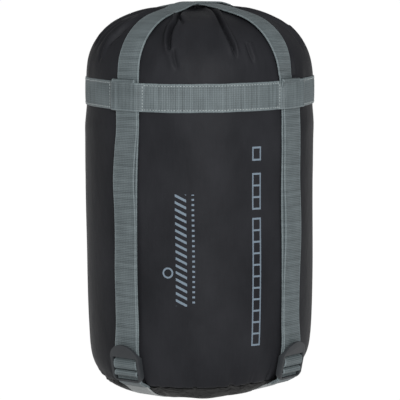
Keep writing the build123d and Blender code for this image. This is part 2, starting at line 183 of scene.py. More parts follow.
def webbing(name, line, across, rib=RIB_HEIGHT, bow=0.0, width=WEBBING_WIDTH, thick=WEBBING_THICK,
            closed=False, start=0.0, tilt=0.0):
    """A strip of ribbed webbing along a line. across points over its width; bow curves it over its width.

    tilt turns it about its own line, in degrees, so that its edge on the side of across lies further out.
    start is how far along the whole strap this piece of it begins.
    """
    line = np.asarray(line, float)
    across = unit(np.broadcast_to(np.asarray(across, float), line.shape))
    if closed:
        tangent = unit(np.roll(line, -1, axis=0) - np.roll(line, 1, axis=0))
        along = np.append(lengths(line), lengths(line)[-1] + np.linalg.norm(line[0] - line[-1]))
    else:
        tangent = unit(np.gradient(line, axis=0))
        along = lengths(line)
    along = along + start
    outward = unit(np.cross(across, tangent))
    turn = np.radians(np.broadcast_to(tilt, len(line)))[:, None]
    over = across * np.cos(turn) + outward * np.sin(turn)
    facing = outward * np.cos(turn) - across * np.sin(turn)
    half = np.broadcast_to(width, len(line))[:, None] / 2
    sideways, through_it, ribbed = section()
    wave = rib * np.cos(2 * pi * along[:len(line)] / RIB_PITCH)
    lift = through_it * thick / 2 + np.sign(through_it) * ribbed * wave[:, None]
    lift = lift - np.asarray(bow) * sideways**2
    points = line[:, None] + over[:, None] * (sideways * half)[:, :, None] + facing[:, None] * lift[:, :, None]
    uv = (sideways * WEBBING_WIDTH / 2, along)
    return grid_object(name, points, uv, wrap_rows=closed, wrap_columns=True, caps=not closed)


STITCH_SECTION = 6              # points round a stitch
# Rings of a stitch: how far along it, as a share of its length, and how thick it is there.
STITCH_BUMPS = np.array([[-0.5, 0.0], [-0.42, 0.7], [-0.2, 1.0], [0.2, 1.0], [0.42, 0.7], [0.5, 0.0]])


def stitches(name, places, directions, outwards, length, thick):
    """A row of thread stitches, each a small rounded bead that lies on the webbing."""
    rings, faces = [], []
    angles = np.arange(STITCH_SECTION) * 2 * pi / STITCH_SECTION
    for place, direction, outward in zip(places, directions, outwards):
        side = np.cross(direction, outward)
        for shift, share in STITCH_BUMPS:
            spread = max(share, 0.05) * thick / 2
            rings.append(place + direction * shift * length
                         + (np.cos(angles)[:, None] * side + np.sin(angles)[:, None] * outward) * spread)
        first = (len(rings) - len(STITCH_BUMPS)) * STITCH_SECTION
        for low in range(first, first + (len(STITCH_BUMPS) - 1) * STITCH_SECTION, STITCH_SECTION):
            for k in range(STITCH_SECTION):
                k2 = (k + 1) % STITCH_SECTION
                faces.append([low + k, low + k2, low + STITCH_SECTION + k2, low + STITCH_SECTION + k])
    mesh = bpy.data.meshes.new(name)
    mesh.from_pydata((np.vstack(rings) * MM).tolist(), [], faces)
    mesh.polygons.foreach_set("use_smooth", [True] * len(mesh.polygons))
    return new_object(name, mesh)


# ---------------- materials
class Material:
    """A new material: its Principled shader's sockets, and short ways to add nodes before them."""

    def __init__(self, name, roughness, base, **settings):
        self.made = bpy.data.materials.new(name)
        self.made.use_nodes = True
        self.nodes = self.made.node_tree.nodes
        self.links = self.made.node_tree.links
        self.shader = self.nodes["Principled BSDF"].inputs
        self.shader["Base Color"].default_value = (*base, 1)
        self.shader["Roughness"].default_value = roughness
        for key, value in settings.items():
            self.shader[key].default_value = value

    def node(self, kind, **inputs):
        added = self.nodes.new(kind)
        for key, value in inputs.items():
            self.put(added.inputs[key], value)
        return added

    def put(self, socket, value):
        if isinstance(value, bpy.types.NodeSocket):
            self.links.new(value, socket)
        else:
            socket.default_value = value

    def math(self, operation, *values):
        added = self.nodes.new("ShaderNodeMath")
        added.operation = operation
        for socket, value in zip(added.inputs, values):
            self.put(socket, value)
        return added.outputs[0]

    def total(self, start, *terms):
        """start and each term's value times its weight, added up."""
        for value, weight in terms:
            start = self.math("MULTIPLY_ADD", value, weight, start)
        return start

    def mix(self, share, *colours):
        """A colour between two, each a tuple or another node's output."""
        added = self.nodes.new("ShaderNodeMix")
        added.data_type = "RGBA"
        self.put(added.inputs[0], share)
        for socket, colour in zip(added.inputs[6:8], colours):
            self.put(socket, (*colour, 1) if isinstance(colour, tuple) else colour)
        return added.outputs[2]

    def uv(self):
        """The two UV coordinates, in metres across and along, and both as a vector."""
        source = self.nodes.new("ShaderNodeUVMap")
        source.uv_map = "UVMap"
        split = self.node("ShaderNodeSeparateXYZ", Vector=source.outputs[0])
        return split.outputs[0], split.outputs[1], source.outputs[0]

    def place(self):
        """The point's own coordinates, in metres."""
        return self.node("ShaderNodeTexCoord").outputs["Object"]

    def wave(self, coordinate, period):
        """A cosine of a coordinate, from 0 to 1. The period is in millimetres."""
        turns = self.math("MULTIPLY", coordinate, 2 * pi / (period * MM))
        return self.math("MULTIPLY_ADD", self.math("COSINE", turns), 0.5, 0.5)

    def noise(self, vector, scale, detail=2.0, stretch=(1, 1, 1)):
        placed = self.node("ShaderNodeMapping", Vector=vector)
        placed.inputs["Scale"].default_value = stretch
        added = self.node("ShaderNodeTexNoise", Vector=placed.outputs[0], Scale=scale, Detail=detail)
        return added.outputs[0]

    def between(self, value, low, high):
        """1 where the value, in metres, lies between low and high, in millimetres."""
        above = self.math("GREATER_THAN", value, low * MM)
        below = self.math("LESS_THAN", value, high * MM)
        return self.math("MULTIPLY", above, below)

    def finish(self, colour=None, roughness=None, bump=None):
        """Links what is given; bump is a height, its distance in metres and its strength."""
        if colour is not None:
            self.links.new(colour, self.shader["Base Color"])
        if roughness is not None:
            self.links.new(roughness, self.shader["Roughness"])
        if bump is not None:
            height, distance, strength = bump
            added = self.node("ShaderNodeBump", Height=height, Strength=strength, Distance=distance)
            self.links.new(added.outputs[0], self.shader["Normal"])
        return self.made


WARP_PITCH = 1.9
SELVEDGE_FROM = 11.1            # of a strap's edge, from its middle
WEAVE_PITCH = 0.7
BRAID_PITCH = 0.9
NYLON_PLAIN = (0.03, 0.033, 0.037)     # the shader's own colour, under the one from the nodes
PRINT_COLOUR = (0.115, 0.145, 0.175)
# painted shade for the groove of the base seam
SEAM_SHADE_COLOUR = (0.002, 0.002, 0.002)
# painted shade in the thin lines of the base cloth's creases
CREASE_SHADE_COLOUR = (0.006, 0.006, 0.006)
CREASE_SHADE_WIDTH = 0.05            # in units of the noise that places the lines of painted crease shade


def webbing_material(name, light, dark):
    """Flat polyester webbing: ribs over the width, warp lines along it, a lighter selvedge."""
    fabric = Material(name, 0.46, light, **{"Specular IOR Level": 0.16})
    across, along, uv = fabric.uv()
    rib = fabric.wave(along, RIB_PITCH)
    warp = fabric.wave(across, WARP_PITCH)
    cloud = fabric.noise(uv, 1.0, 3.0, stretch=(18, 300, 1))
    drift = fabric.noise(uv, 1.0, 2.0, stretch=(60, 25, 1))
    edge = fabric.math("GREATER_THAN", fabric.math("ABSOLUTE", across), SELVEDGE_FROM * MM)
    tone = fabric.total(-0.75, (rib, 0.45), (warp, 0.22), (cloud, 1.1), (drift, 0.6), (edge, 0.35))
    fibre = fabric.total(rib, (warp, 0.5))
    return fabric.finish(fabric.mix(tone, dark, light), bump=(fibre, 0.00012, 0.7))


def nylon_material(name, dark, light, seam, crease_shade=0.0):
    """Coated nylon cloth: fine plain weave, a plain striped print on the front and painted shade at the seam.

    The seam's painted shade lies where the coordinate along the cloth is between the two values of seam.
    The last argument is how dark the thin lines of painted shade in the cloth's creases round the sack are.
    """
    fabric = Material(name, 0.5, NYLON_PLAIN, **{"Specular IOR Level": 0.04})
    across, along, uv = fabric.uv()
    cloud = fabric.noise(uv, 1.0, 4.0, stretch=(22, 14, 1))
    slub = fabric.noise(uv, 1.0, 2.0, stretch=(900, 60, 1))
    cloth = fabric.mix(fabric.total(-0.5, (cloud, 1.7), (slub, 0.3)), dark, light)
    # thin lines of painted shade in the cloth's creases round the sack
    if crease_shade > 0:
        lines = fabric.noise(uv, 1.0, 2.0, stretch=(45, 420, 1))
        near = fabric.math("ABSOLUTE", fabric.math("SUBTRACT", lines, 0.5))
        thin = fabric.total(crease_shade, (near, -crease_shade / CREASE_SHADE_WIDTH))
        cloth = fabric.mix(thin, cloth, CREASE_SHADE_COLOUR)
    # a thin line of painted shade in the base seam's groove
    cloth = fabric.mix(fabric.between(along, *seam), cloth, SEAM_SHADE_COLOUR)
    cloth = fabric.mix(print_mask(fabric, across, along), cloth, PRINT_COLOUR)
    weave = fabric.math("ADD", fabric.wave(across, WEAVE_PITCH), fabric.wave(along, WEAVE_PITCH))
    wrinkle = fabric.noise(uv, 1.0, 5.0, stretch=(48, 30, 1))
    return fabric.finish(cloth, fabric.total(0.4, (cloud, 0.18)),
                         bump=(fabric.total(wrinkle, (weave, 0.02)), 0.0013, 0.7))


# The print is generic. Each field is (middle across, width, low, high) in millimetres: across is measured
# round the wall from the front, and heights along the cloth. A ladder also has the number of its steps.
PRINT_HATCH = (-15.9, 9.8, 88.0, 184.0)
PRINT_TICKS = (-5.3, 2.2, 88.0, 184.0)
PRINT_LADDERS = [(51.0, 8.6, 52.0, 163.0, 11), (51.0, 8.6, 170.0, 201.5, 3), (51.0, 8.6, 212.0, 224.0, 1)]
RING_MIDDLE = (-27.8, 116.4)
RING_RADIUS = 4.0
RING_STROKE = 1.5
HATCH_PITCH = 6.0
HATCH_SLANT = 0.5
TICK_PITCH = 4.4
OPEN_SHARE = 0.62               # of a pitch of the hatch or the ticks that stays open
RUNG_WIDTH = 1.6
RAIL_WIDTH = 1.3
RAIL_STRENGTH = 0.9


def print_mask(fabric, across, along):
    """1 on the printed hatch, ticks, ladders and ring."""
    def field(middle, width, low, high):
        return fabric.math("MULTIPLY", fabric.between(across, middle - width / 2, middle + width / 2),
                           fabric.between(along, low, high))

    def share(coordinate, pitch):
        return fabric.math("FRACT", fabric.math("DIVIDE", coordinate, pitch * MM))

    def stripes(area, coordinate, pitch):
        return fabric.math("MULTIPLY", field(*area),
                           fabric.math("GREATER_THAN", share(coordinate, pitch), OPEN_SHARE))

    slanted = fabric.total(along, (across, HATCH_SLANT))
    shapes = [stripes(PRINT_HATCH, slanted, HATCH_PITCH), stripes(PRINT_TICKS, along, TICK_PITCH)]
    for middle, width, low, high, steps in PRINT_LADDERS:
        pitch = (high - low - RUNG_WIDTH) / steps
        climb = fabric.math("SUBTRACT", along, low * MM)
        rung = fabric.math("LESS_THAN", share(climb, pitch), RUNG_WIDTH / pitch)
        shapes.append(fabric.math("MULTIPLY", field(middle, width, low, high), rung))
        for side in (-1, 1):
            rail = field(middle + side * (width - RAIL_WIDTH) / 2, RAIL_WIDTH, low, high)
            shapes.append(fabric.math("MULTIPLY", rail, RAIL_STRENGTH))
    aside = fabric.math("SUBTRACT", across, RING_MIDDLE[0] * MM)
    above = fabric.math("SUBTRACT", along, RING_MIDDLE[1] * MM)
    square = fabric.math("ADD", fabric.math("MULTIPLY", aside, aside), fabric.math("MULTIPLY", above, above))
    away = fabric.math("SQRT", square)
    mask = fabric.between(away, RING_RADIUS - RING_STROKE / 2, RING_RADIUS + RING_STROKE / 2)
    for shape in shapes:
        mask = fabric.math("MAXIMUM", mask, shape)
    return mask


def plastic_material(name, base, rough):
    """Moulded acetal: near black, satin, a little cloudy, with a fine grain."""
    plastic = Material(name, rough, base, **{"Specular IOR Level": 0.18})
    place = plastic.place()
    cloud = plastic.noise(place, 160.0, 3.0)
    grain = plastic.noise(place, 3000.0, 2.0)
    dark, light = (tuple(strength * c for c in base) for strength in (0.8, 1.25))
    return plastic.finish(plastic.mix(cloud, dark, light), plastic.total(rough - 0.08, (cloud, 0.16)),
                          bump=(grain, 0.00005, 0.5))


def thread_material():
    """Twisted sewing thread, lighter than the webbing."""
    thread = Material("thread", 0.6, (0.30, 0.34, 0.35), **{"Sheen Weight": 0.3})
    twist = thread.noise(thread.place(), 2500.0, 2.0)
    return thread.finish(thread.mix(twist, (0.15, 0.175, 0.18), (0.30, 0.34, 0.345)),
                         bump=(twist, 0.00008, 0.6))


def cord_material():
    """Braided cord: two sets of slanted strands."""
    cord = Material("cord", 0.7, (0.03, 0.032, 0.035), **{"Sheen Weight": 0.2})
    x, y, z = cord.node("ShaderNodeSeparateXYZ", Vector=cord.place()).outputs
    strands = [cord.math(slant, cord.math(slant, x, y), z) for slant in ("ADD", "SUBTRACT")]
    braid = cord.math("MAXIMUM", *(cord.wave(strand, BRAID_PITCH) for strand in strands))
    return cord.finish(cord.mix(braid, (0.015, 0.016, 0.018), (0.05, 0.054, 0.058)), bump=(braid, 0.0002, 0.8))


def steel_material():
    """Drawn spring wire."""
    steel = Material("spring_steel", 0.3, (0.5, 0.5, 0.5), Metallic=1.0)
    drawn = steel.noise(steel.place(), 900.0, 3.0)
    return steel.finish(roughness=steel.total(0.2, (drawn, 0.2)))


WEBBING = webbing_material("webbing", light=(0.114, 0.137, 0.144), dark=(0.040, 0.0495, 0.0525))
# The foot straps take the same webbing in a lighter tone: painted light from the floor below.
WEBBING_LIT_BELOW = webbing_material("webbing_under_painted_light", light=(0.25, 0.265, 0.265), dark=(0.135, 0.145, 0.145))
# The wall's cloth has a thin line of painted shade just above the base seam.
NYLON = nylon_material("nylon", dark=(0.0079, 0.0082, 0.0096), light=(0.0176, 0.0181, 0.0208),
                       seam=(0.0, 13.7))
# The base cloth is the same nylon in a lighter tone: painted light from the floor below.
BASE_NYLON_LIT = nylon_material("nylon_base_painted_light", dark=(0.0150, 0.0150, 0.0152), light=(0.0330, 0.0332, 0.0330),
                            seam=(15.0, 20.0), crease_shade=0.75)
BUCKLE = plastic_material("buckle", (0.021, 0.0232, 0.0258), 0.42)
LOCK_PLASTIC = plastic_material("cord_lock", (0.022, 0.024, 0.027), 0.4)
THREAD = thread_material()
CORD = cord_material()
STEEL = steel_material()


def finish_piece(thing, body, made, replaced=()):
    """Gives a piece its body and material, and hides the CAD nodes it stands for."""
    thing.data.materials.clear()
    thing.data.materials.append(made)
    if body is not None:
        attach(thing, body)
    if replaced:
        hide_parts(*replaced)
    return thing


# ---------------- buckle frame of reference
LEAN = radians(11.0)            # the buckles lean with the foot of the sack
LOCK_FOOT = np.array([95.2, 20.0])
ALONG = np.array([sin(LEAN), cos(LEAN)])
OUTWARD = np.array([cos(LEAN), -sin(LEAN)])


def lock_point(along, out):
    """Radius and height of a point of the buckle's side view."""
    return tuple(LOCK_FOOT + along * ALONG + out * OUTWARD)


PIVOT = np.array(lock_point(-1.2, 1.5))
BASE_RUN = np.array([cos(radians(30.4)), sin(radians(30.4))])   # the base strap's climb to the pivot
BASE_INWARD = np.array([-BASE_RUN[1], BASE_RUN[0]])


def from_pivot(along, inward=0.0):
    return tuple(PIVOT + along * BASE_RUN + inward * BASE_INWARD)


BASE_STOP = -8.0                # along the climb, where the anchor webbing takes over
BASE_PATH = [from_pivot(BASE_STOP), from_pivot(-11.5), (83.6, 10.5), (79.0, 7.5), (73.0, 4.9), (65.0, 2.8),
             (56.0, 1.5), (47.0, 0.95), (40.0, 0.78), (30.0, 0.75)]


# ---------------- path of the straps over the top
STRAPS = {"a": 135, "b": 45}    # the two long straps, by the direction of their planes
STRAP_WIDTH = 23.5              # of webbing that is cupped a little by the pull on it
OVER_LINE = [(102.1, 256.5), (102.1, 266.0), (102.2, 276.0), (101.9, 284.0), (100.9, 292.0), (99.2, 299.5),
             (96.5, 306.8), (92.6, 313.8), (87.2, 320.6), (80.8, 326.2), (73.6, 330.7), (65.5, 334.2),
             (56.5, 336.9), (47.0, 339.0), (37.0, 340.8), (27.0, 342.3)]
CROSSING = {"a": 343.9, "b": 345.35}
LEVEL_FROM = 15.0               # of a strap, from the axis, over the crossing
OVER_INSET = 0.4                # how much closer to the wall the straps lie where they go under the band


def over_line(crossing):
    """The side view from band to band over the top."""
    radius, height = OVER_LINE[-1]
    raised = height + 0.75 * (crossing - CROSSING["a"])
    half = OVER_LINE[:-1] + [(radius, raised), (LEVEL_FROM, crossing), (0.0, crossing)]
    half = [(r - OVER_INSET * float(1 - smooth(z, 276, 300)), z) for r, z in half]
    other = [(-r, z) for r, z in half[:-1][::-1]]
    return through(half + other, RIB_STEP)


# How far each strap wanders towards the front over the crown, by how far out it is on the front's side.
OVER_REACH = [-103.0, -101.9, -99.8, -96.5, -90, -80, -60, -40, -20, 0, 20, 60, 103]
FRONT_END = [256, 284]          # below the last of these heights, the first two values go by height
OVER_WANDER = {
    "a": [3.0, 7.6, 8.8, 9.8, 10.8, 11.4, 10.6, 8.8, 6.6, 4.8, 3.0, 0.6, 0],
    "b": [-2.6, -2.2, -1.8, -2.2, -2.8, -3.6, -3.6, -3.0, -2.4, -1.8, -1.2, -0.3, 0],
}


def over_shift(name, line):
    """Sideways shift at each point of a strap's side view over the top."""
    reach = through(np.stack([OVER_REACH, OVER_WANDER[name]], axis=1), 0.5)
    shift = np.interp(line[:, 0], reach[:, 0], reach[:, 1])
    low_front = (line[:, 0] < 0) & (line[:, 1] < FRONT_END[1])
    shift[low_front] = np.interp(line[low_front, 1], FRONT_END, OVER_WANDER[name][:2])
    return shift


# ---------------- cloth of the wall, crown and base
WALL_LINE = [(85.9, 12.9), (88.2, 16.2), (92.3, 21.6), (95.2, 28.0), (97.3, 36.0), (98.8, 48.0),
             (100.0, 70.0), (100.7, 100.0), (101.0, 140.0), (101.3, 190.0), (101.5, 230.0),
             (101.3, 246.0), (100.9, 256.0), (100.6, 270.0)]
CROWN_LINE = [(100.9, 260.0), (101.1, 272.0), (101.2, 280.0), (100.4, 288.0), (98.9, 296.0), (96.3, 303.8),
              (92.6, 311.0), (87.2, 317.9), (80.6, 323.8), (72.9, 328.7), (64.2, 332.5), (54.8, 335.4),
              (45.0, 337.5), (35.5, 338.8), (27.0, 339.7), (21.5, 340.2), (18.3, 340.9), (15.8, 342.1)]
BASE_LINE = [(85.9, 12.9), (82.8, 10.2), (78.4, 7.0), (73.0, 4.4), (66.7, 2.4), (58.0, 1.1),
             (48.0, 0.4), (30.0, 0.3), (2.0, 0.3)]
ANGLES = np.arange(640) * 360 / 640
FINE_ANGLES = np.arange(1000) * 360 / 1000
FRONT_ANGLE = 263.0             # of the middle of the printed side
CLOTH_RADIUS = 101.0            # for distances round the cloth
STRAP_CLEAR = 0.95              # of the cloth below the middle of a strap that lies on it
EDGE_CLEAR = 0.8                # and this much more below its edges
DEEPEST_PRESS = 6               # how far a strap can push the cloth in
PRESS_SIDE = 5.5                # how far beside a strap the cloth comes back up


def apart(angles, other):
    """Signed difference of two angles in degrees, from -180 to 180."""
    return (np.asarray(angles) - other + 180) % 360 - 180


def ripple(angles, waves, seed):
    """A smooth closed wobble round the sack: cosines of random size and phase, about 1 high."""
    dice = np.random.default_rng(seed)
    total = np.zeros(np.shape(angles))
    for wave in waves:
        total = total + dice.uniform(0.5, 1.0) * np.cos(np.radians(wave * angles) + dice.uniform(0, 2 * pi))
    return total / np.sqrt(len(waves))


# The sack is a little slimmer on its left at the girth band, and the band rises towards both sides.
DENT = 1.5
DENT_ANGLE = 183.0
DENT_SPREAD = 38.0
DENT_TALL = 24.0


def dent(angles, height):
    """How far the sack is drawn in under the girth band."""
    return DENT * gauss(apart(angles, DENT_ANGLE), DENT_SPREAD) * gauss(height - BAND_MIDDLE, DENT_TALL)


def band_rise(angles):
    """How much higher than its plain ring the girth band lies at each angle."""
    around = np.radians(np.asarray(angles) - FRONT_ANGLE)
    return 1.93 + 0.1 * np.cos(around) + 0.35 * np.sin(around) - 1.43 * np.cos(2 * around)


def revolved(line, angles=ANGLES):
    """Grid of points of a line of radius and height turned round the axis, and its outward normals."""
    tangent = unit(np.gradient(line, axis=0))
    round_angles = np.radians(angles)
    c, s = np.cos(round_angles), np.sin(round_angles)
    points = np.stack([line[:, :1] * c, line[:, :1] * s, np.repeat(line[:, 1:], len(angles), axis=1)], axis=2)
    out, up = tangent[:, 1:], -tangent[:, :1]
    normals = np.stack([out * c, out * s, np.repeat(up, len(angles), axis=1)], axis=2)
    return points, normals


DEEP_FOLD = 5.0                 # folds deeper than this end in a dimple rather than fading out
DEEP_FADE = 0.84                # where a fold begins to fade, as a share of its length
PLAIN_FADE = 0.6
FOLD_REACH = 14                 # how far from its path a fold is worked out


def crease(points, normals, path, depth, width, side):
    """A fold along a path: a narrow valley, with the cloth on one side of it puffed over its edge."""
    route = through(path, 0.8)
    ahead = unit(np.gradient(route, axis=0))
    share = lengths(route) / lengths(route)[-1]
    low, high = route.min(axis=0) - FOLD_REACH, route.max(axis=0) + FOLD_REACH
    rows, columns = np.nonzero(np.all((points > low) & (points < high), axis=2))
    spot, normal = points[rows, columns], normals[rows, columns]
    near, nearest = nearest_point(spot, route)
    towards = np.cross(normal, ahead[nearest])
    offset = np.sign(np.sum((spot - route[nearest]) * towards, axis=1)) * near * side
    fade_from = DEEP_FADE if depth > DEEP_FOLD else PLAIN_FADE
    fade = smooth(share[nearest], 0.0, 0.1) * (1 - smooth(share[nearest], fade_from, 1.0))
    valley = -depth * np.exp(-(near / width) ** 1.6)
    puff = 0.6 * depth * gauss(offset - 2.4 * width, 1.9 * width)
    heel = 0.2 * depth * gauss(offset + 2.6 * width, 2.2 * width)
    lift = np.zeros(points.shape[:2])
    lift[rows, columns] = fade * (valley + (puff + heel))
    return lift


def on_crown(angle, radius):
    """The point of the crown's line at that radius, turned to the angle."""
    line = np.array(CROWN_LINE)[::-1]
    height = np.interp(radius, line[:, 0], line[:, 1])
    return [radius * cos(radians(angle)), radius * sin(radians(angle)), height]


# How far from a strap's middle the cloth is still wholly under it, and how far it is free again.
SIDE_STRAP_EDGE = (10.5, 15.5)
FOOT_STRAP_EDGE = (12.6, 17.5)


def under_straps(angles):
    """1 under a side strap, 0 away from it."""
    share = np.zeros(np.shape(angles))
    for corner in CORNERS.values():
        away = np.radians(apart(angles, corner))
        covered = 1 - smooth(np.abs(CLOTH_RADIUS * np.sin(away)), *SIDE_STRAP_EDGE)
        share = np.maximum(share, (np.cos(away) > 0) * covered)
    return share


# The foot is drawn up a little at its front right corner, where that strap is pulled hardest.
TUCK_ANGLE = 335.0
TUCK_SPREAD = 40.0
TUCK_RISE = 4.8
TUCK_REACH = (38.0, 64.0)       # radii where it begins and where it is whole


def tuck(radius, angles):
    """How far the foot is drawn up there, at a radius and an angle."""
    return TUCK_RISE * gauss(apart(angles, TUCK_ANGLE), TUCK_SPREAD) * smooth(radius, *TUCK_REACH)


def strap_tuck(radius, away):
    """How far the foot strap of the front right corner is drawn up; away is the angle from that corner."""
    rise = tuck(radius, CORNERS["front_right"]) * (1 - smooth(radius, 79, 92))
    return rise * (np.abs(away) < 60)


def cloth_folds(heights, angles, seed):
    """Soft upright waves of the stuffed wall, which drift as they climb."""
    dice = np.random.default_rng(seed)
    total = np.zeros((len(heights), len(angles)))
    for wave in (3, 5, 7, 9, 12, 16, 21, 27):
        size = 1.6 / (wave + 2)
        phase = dice.uniform(0, 2 * pi)
        drift = dice.uniform(-0.9, 0.9)
        swell = dice.uniform(0, 2 * pi)
        tall = dice.uniform(0.5, 1.4)
        up = heights[:, None] / 100
        fading = 0.6 + 0.4 * np.cos(tall * 2 * pi * up / 2.4 + swell)
        total += size * np.cos(np.radians(wave * angles)[None, :] + phase + drift * up) * fading
    return total


LEAN_RIGHT = 0.8                # how far the lower wall stands to the right of the sack's middle
NOTCH_COUNT = 62
NOTCH_WIDTH = 1.05              # degrees
NOTCH_DEPTH = 4.4


NOTCH_SEED = 61
PUCKER_REACH = 9.0
GROOVE_DEPTH = 2.8


def seam_notches():
    """Small tucks where the cloth is drawn into the base seam: narrow, unevenly placed and unevenly deep."""
    dice = np.random.default_rng(NOTCH_SEED)
    total = np.zeros(len(ANGLES))
    for index in range(NOTCH_COUNT):
        middle = (index + dice.uniform(-0.42, 0.42)) * 360 / NOTCH_COUNT
        total -= NOTCH_DEPTH * dice.uniform(0.2, 1.0) ** 2 * gauss(apart(ANGLES, middle), NOTCH_WIDTH)
    return total


def beside_seam(seam, puckers, notch_reach, groove, puff):
    """How the cloth beside the base seam lies: puckers and tucks, a stitched groove, and a puff beyond it.

    seam is the distance from it and groove the groove's width; puff is the puff's height, place and width.
    """
    height, middle, width = puff
    lift = puckers * np.exp(-seam / PUCKER_REACH) + seam_notches() * np.exp(-seam / notch_reach)
    return lift - GROOVE_DEPTH * np.exp(-(seam / groove) ** 2) + height * gauss(seam - middle, width)


def cloth_object(name, points, angles, along):
    """A mesh of cloth all round the sack. Its first column comes twice, so that its UV map can close."""
    around = (np.append(angles, 360.0) - FRONT_ANGLE) * pi / 180 * CLOTH_RADIUS
    return grid_object(name, np.concatenate([points, points[:, :1]], axis=1), (around, along))


def build_wall():
    """The wall of the sack from the base seam to under the girth band."""
    line = through(WALL_LINE, 1.1)
    points, normals = revolved(line)
    radius, height = line[:, :1], line[:, 1:]
    seam = lengths(line)[:, None]
    straps = under_straps(ANGLES)
    lift = 0.7 * cloth_folds(line[:, 1], ANGLES, 3) * smooth(seam, 0, 30) * (1 - smooth(height, 244, 254))
    puckers = ripple(ANGLES, (31, 37, 44, 52, 61), 11) * ripple(ANGLES, (5, 8, 11), 12)
    lift = lift + beside_seam(seam, puckers * smooth(seam, -1, 2.0), 7.0, 1.7, (0.9, 5.0, 3.2))
    lift = lift + 0.5 * gauss(height - 238, 9) * (0.6 + 0.5 * ripple(ANGLES, (7, 12, 19), 14))
    lift = np.minimum(lift, lift * (1 - straps) + 0.1 * straps)
    lift = lift - 0.5 * straps * smooth(height, 50, 80) - dent(ANGLES, height)
    points = points + normals * lift[:, :, None]
    points[:, :, 2] += tuck(radius, ANGLES) * (1 - smooth(height, 18, 46))
    points[:, :, 0] += LEAN_RIGHT * (1 - smooth(height, 110, 190)) * smooth(height, 20, 60)
    return cloth_object("sack_wall", points, ANGLES, line[:, 1])


# Angle and radius of each point of a fold, then its depth, its width and the side that puffs over it.
CROWN_CREASES = [
    ([(232, 17), (240, 38), (244.5, 56), (247.5, 68), (246.2, 80), (246.6, 90), (248.5, 97.5)], 5.4, 1.15, -1),
    ([(245.5, 60), (250, 68), (253.5, 76)], 3.4, 1.3, -1),
    ([(283, 17), (280.5, 36), (278.5, 58), (277.8, 74), (278.9, 86), (280.6, 93.5), (282, 98.5)], 5.6, 1.1, 1),
    ([(292, 22), (293, 38), (297, 52)], 3.2, 1.6, 1),
    ([(288.6, 91), (289.6, 96.7), (291.2, 99.6)], 2.0, 1.3, 1),
    ([(249.6, 94), (250.8, 98), (253.0, 100.4)], 1.8, 1.5, -1),
    ([(262, 24), (260.5, 50), (261, 74), (262.5, 90)], 0.9, 4.5, 1),
    ([(271, 30), (270, 48), (269, 66)], 0.7, 3.5, -1),
    ([(213, 22), (213.5, 50), (213.0, 70), (212, 84), (212, 94)], 3.4, 1.9, -1),
    ([(203, 20), (202, 48), (199, 72), (196, 88), (194, 98)], 3.2, 2.0, 1),
    ([(217, 64), (214, 78), (209.5, 89), (206, 96)], 3.8, 1.6, -1),
    ([(204, 86), (202.5, 94), (202, 99.5)], 3.0, 1.6, 1),
    ([(190, 70), (188.5, 84), (189, 96)], 3.2, 1.8, -1),
    ([(186, 20), (185, 46), (184, 72), (182, 92)], 2.2, 2.6, -1),
    ([(170, 20), (169, 50), (168, 80), (167, 95)], 2.4, 2.4, 1),
    ([(331, 20), (331, 50), (333, 76), (334, 90), (334, 98)], 3.6, 1.7, 1),
    ([(341, 78), (342, 88), (341.5, 97)], 3.0, 1.5, -1),
    ([(343, 34), (344, 60), (346, 84), (347, 95)], 2.0, 2.2, -1),
    ([(358, 20), (358, 50), (359, 80), (0, 95)], 2.4, 2.4, 1),
    ([(16, 20), (15, 50), (14, 78), (13, 94)], 2.8, 2.0, -1),
    ([(30, 20), (29, 50), (28, 70), (27, 88)], 2.0, 1.8, 1),
    ([(64, 20), (66, 50), (68, 78), (69, 93)], 3.2, 1.9, 1),
    ([(80, 36), (82, 55), (83, 80), (83, 96)], 2.6, 1.8, -1),
    ([(101, 36), (99, 55), (97, 76), (96, 90)], 2.4, 1.8, 1),
    ([(118, 20), (117, 50), (116, 78), (115, 95)], 2.9, 2.0, -1),
    ([(152, 20), (153, 50), (155, 78), (157, 96)], 3.0, 2.0, 1),
]


def gathers(angles, radius):
    """Folds that run out from the gathered mouth: close together there, gone by the shoulder."""
    fine = ripple(angles, (19, 23, 26, 29), 21)
    coarse = ripple(angles, (9, 11, 14), 22)
    near = np.exp(-np.clip(radius - 16, 0, None) / 9.0)
    far = np.exp(-np.clip(radius - 20, 0, None) / 24.0) * smooth(radius, 15, 24)
    return 0.85 * near[:, None] * fine[None, :] + 1.05 * far[:, None] * coarse[None, :]


OVER_TILT = {"a": 10.5, "b": 0.0}      # degrees, where the front end of the strap comes down to the band
TILT_SINK = 0.9                 # how far the strap's middle is let into the cloth there


def over_lean(name, line):
    """How far a strap is turned about its own line at each point of its side view over the top."""
    fade = smooth(line[:, 1], 273, 281) * (1 - smooth(line[:, 1], 281, 318))
    return OVER_TILT[name] * (line[:, 0] < 0) * fade


def over_sink(name, line):
    """How far a strap's middle is let into the cloth at each point of its side view over the top."""
    return TILT_SINK * over_lean(name, line) / max(OVER_TILT.values())


def facing_out(line):
    """The outward normals of a side view line over the top."""
    tangent = unit(np.gradient(line, axis=0))
    outward = np.stack([tangent[:, 1], -tangent[:, 0]], axis=1)
    return outward * np.sign(outward[len(line) // 2, 1])


def pressed(points, normals, name, angle):
    """The cloth pushed in where a strap lies over it, with the rest left as it is."""
    line = over_line(CROSSING[name])[::5]
    flat = points.reshape(-1, 3)
    local = turned(flat, -angle)
    nearest = nearest_point(local[:, ::2], line)[1]
    above = np.sum((local[:, ::2] - line[nearest]) * facing_out(line)[nearest], axis=1)
    shift = over_shift(name, line)[nearest]
    slope = np.sin(np.radians(over_lean(name, line)))[nearest]
    above = above + over_sink(name, line)[nearest] - (local[:, 1] - shift) * slope
    side = np.abs(local[:, 1] - shift)
    edge = STRAP_WIDTH / 2
    need = STRAP_CLEAR + EDGE_CLEAR * (side / edge) ** 2
    deep = np.clip(above + need, 0, DEEPEST_PRESS) * (1 - smooth(side, edge, edge + PRESS_SIDE))
    return points - normals * deep.reshape(points.shape[:2])[:, :, None]


